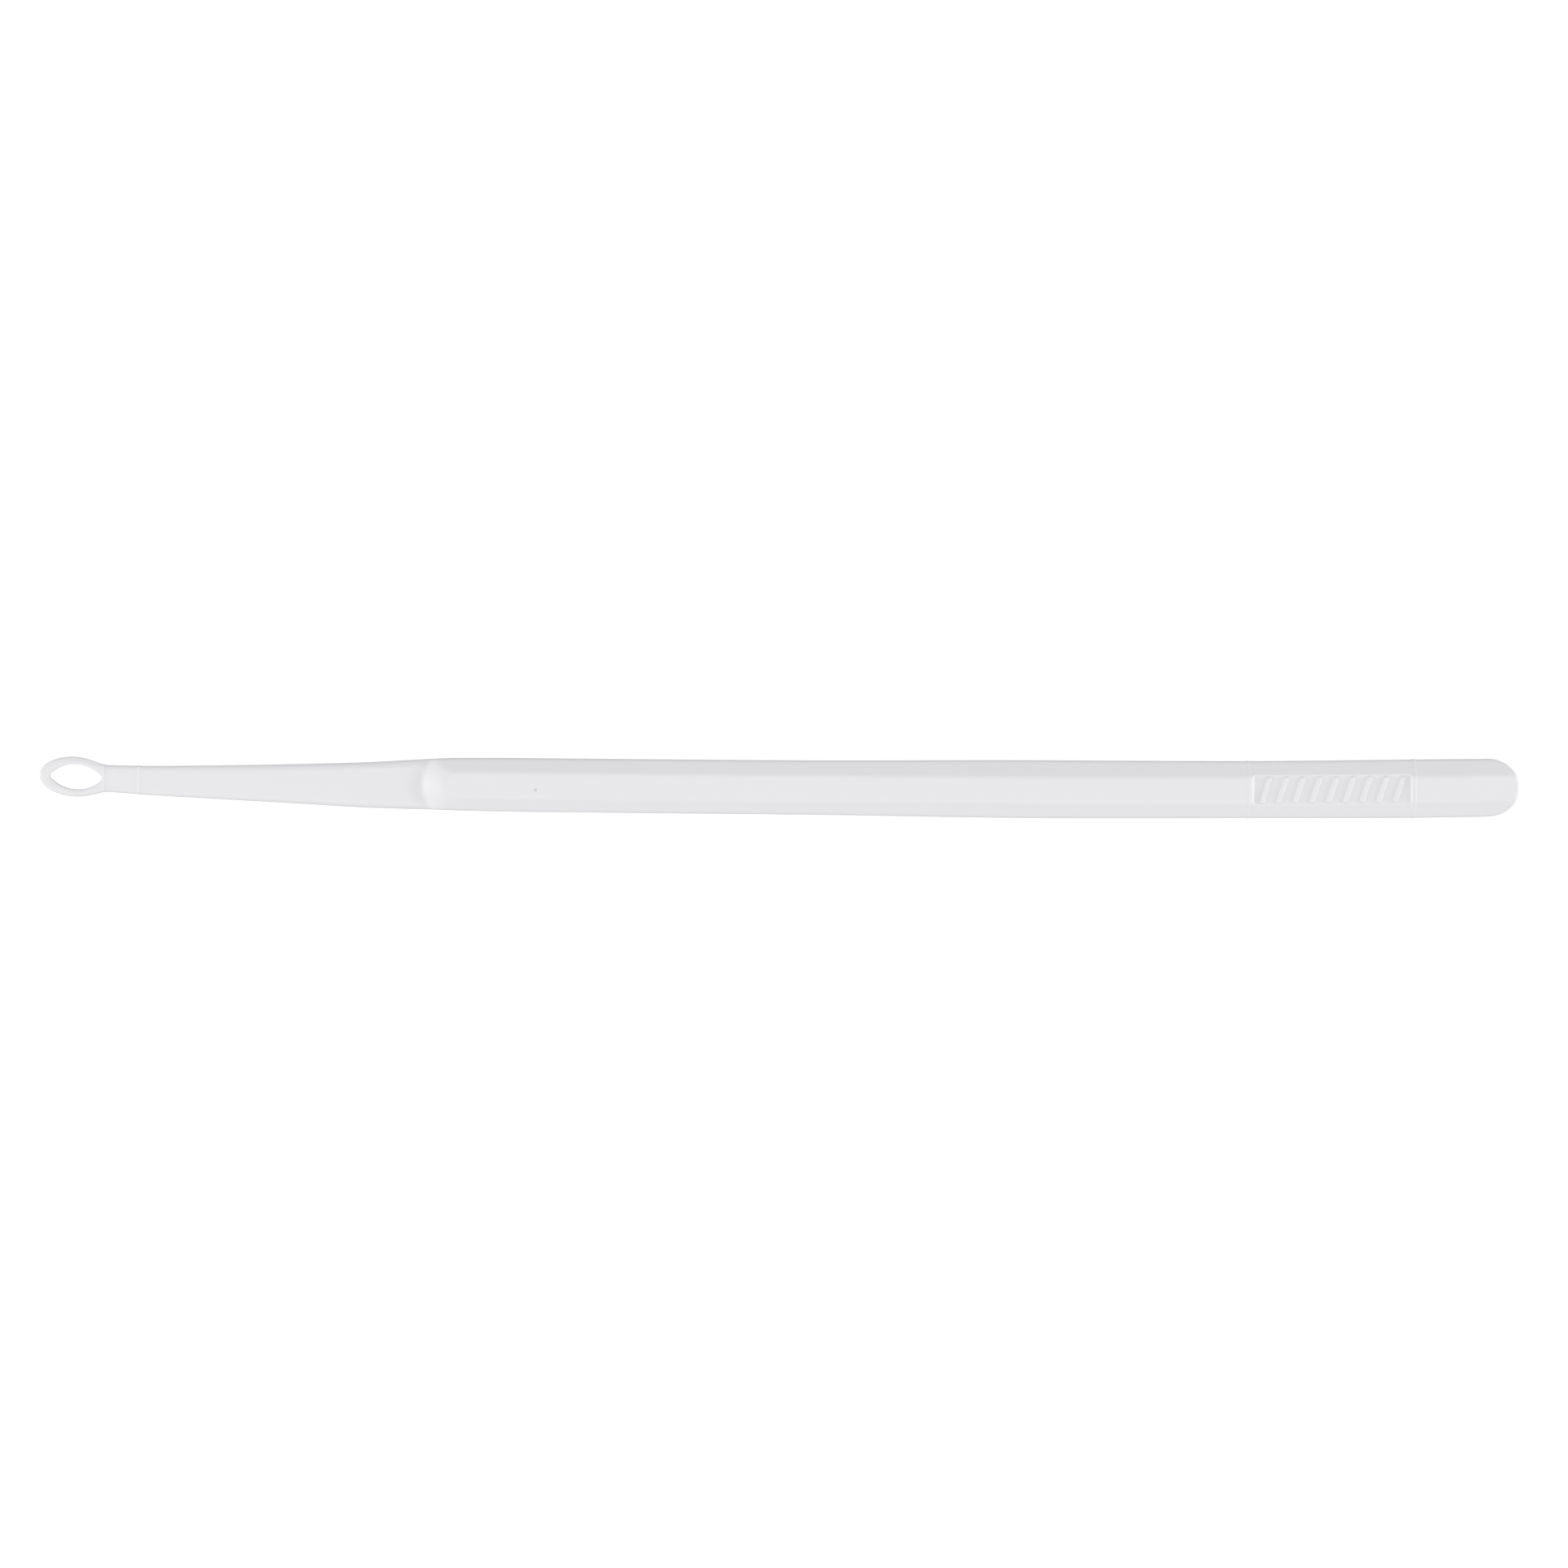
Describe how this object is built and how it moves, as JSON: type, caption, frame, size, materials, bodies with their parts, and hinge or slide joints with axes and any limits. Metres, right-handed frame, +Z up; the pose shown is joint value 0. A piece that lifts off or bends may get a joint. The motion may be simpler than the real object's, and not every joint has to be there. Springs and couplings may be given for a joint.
{
  "type": "loop curette",
  "caption": "Slim one-piece moulded plastic loop tool: a lens-shaped loop on a flat flexible neck, an eight-sided handle and a shallow marking panel near its rounded end.",
  "frame": {"origin": "centre of the underside: halfway along and halfway across, on the plane of the handle's lower flat", "axes": "+X along the tool from the loop to the butt end; +Y across its width; +Z up, out of the upper flat that holds the marking panel"},
  "size_m": [0.15, 0.0058, 0.0043],
  "materials": {
    "white_plastic": "satin"
  },
  "bodies": {
    "root": {"loop": "white_plastic", "stem": "white_plastic", "neck": "white_plastic", "handle": "white_plastic", "marking_panel": "white_plastic", "panel_ribs": "white_plastic", "butt_end": "white_plastic"}
  },
  "joints": []
}
